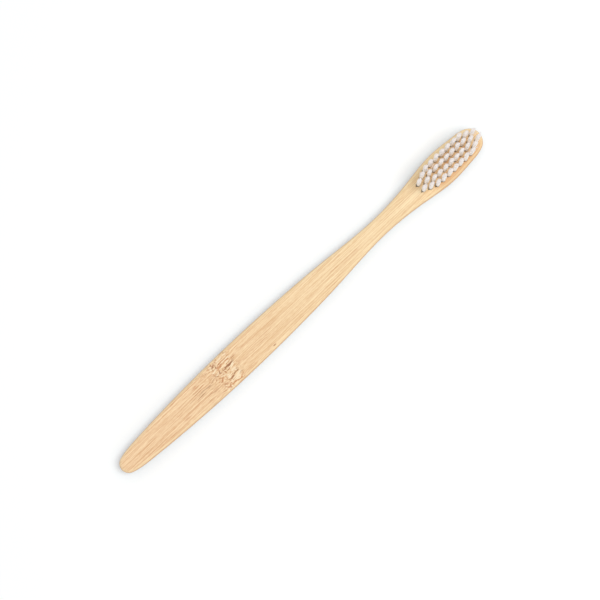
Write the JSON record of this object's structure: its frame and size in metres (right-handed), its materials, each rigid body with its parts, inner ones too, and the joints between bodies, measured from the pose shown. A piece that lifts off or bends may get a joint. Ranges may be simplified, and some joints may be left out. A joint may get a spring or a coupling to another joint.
{
  "type": "manual toothbrush",
  "caption": "Flat bamboo-handled manual toothbrush with rounded edges, a slim neck and a leaf-shaped head carrying upright anchored nylon tufts.",
  "frame": {"origin": "middle of the length, on the flat back that the brush lies on", "axes": "+X from the tail to the tip of the head, +Y to the left, +Z out of the bristle face"},
  "size_m": [0.19, 0.0138, 0.0159],
  "materials": {
    "bamboo": "sanded, satin",
    "bristle_nylon": "satin",
    "anchor_brass": "cut wire"
  },
  "bodies": {
    "root": {"handle": "bamboo", "tuft_anchors": "anchor_brass", "tuft_c01_r1": "bristle_nylon", "tuft_c01_r2": "bristle_nylon", "tuft_c02_r1": "bristle_nylon", "tuft_c02_r2": "bristle_nylon", "tuft_c02_r3": "bristle_nylon", "tuft_c03_r1": "bristle_nylon", "tuft_c03_r2": "bristle_nylon", "tuft_c03_r3": "bristle_nylon", "tuft_c03_r4": "bristle_nylon", "tuft_c04_r1": "bristle_nylon", "tuft_c04_r2": "bristle_nylon", "tuft_c04_r3": "bristle_nylon", "tuft_c04_r4": "bristle_nylon", "tuft_c05_r1": "bristle_nylon", "tuft_c05_r2": "bristle_nylon", "tuft_c05_r3": "bristle_nylon", "tuft_c05_r4": "bristle_nylon", "tuft_c06_r1": "bristle_nylon", "tuft_c06_r2": "bristle_nylon", "tuft_c06_r3": "bristle_nylon", "tuft_c06_r4": "bristle_nylon", "tuft_c07_r1": "bristle_nylon", "tuft_c07_r2": "bristle_nylon", "tuft_c07_r3": "bristle_nylon", "tuft_c07_r4": "bristle_nylon", "tuft_c08_r1": "bristle_nylon", "tuft_c08_r2": "bristle_nylon", "tuft_c08_r3": "bristle_nylon", "tuft_c08_r4": "bristle_nylon", "tuft_c09_r1": "bristle_nylon", "tuft_c09_r2": "bristle_nylon", "tuft_c09_r3": "bristle_nylon", "tuft_c09_r4": "bristle_nylon", "tuft_c10_r1": "bristle_nylon", "tuft_c10_r2": "bristle_nylon", "tuft_c10_r3": "bristle_nylon", "tuft_c11_r1": "bristle_nylon", "tuft_c11_r2": "bristle_nylon"}
  },
  "joints": []
}
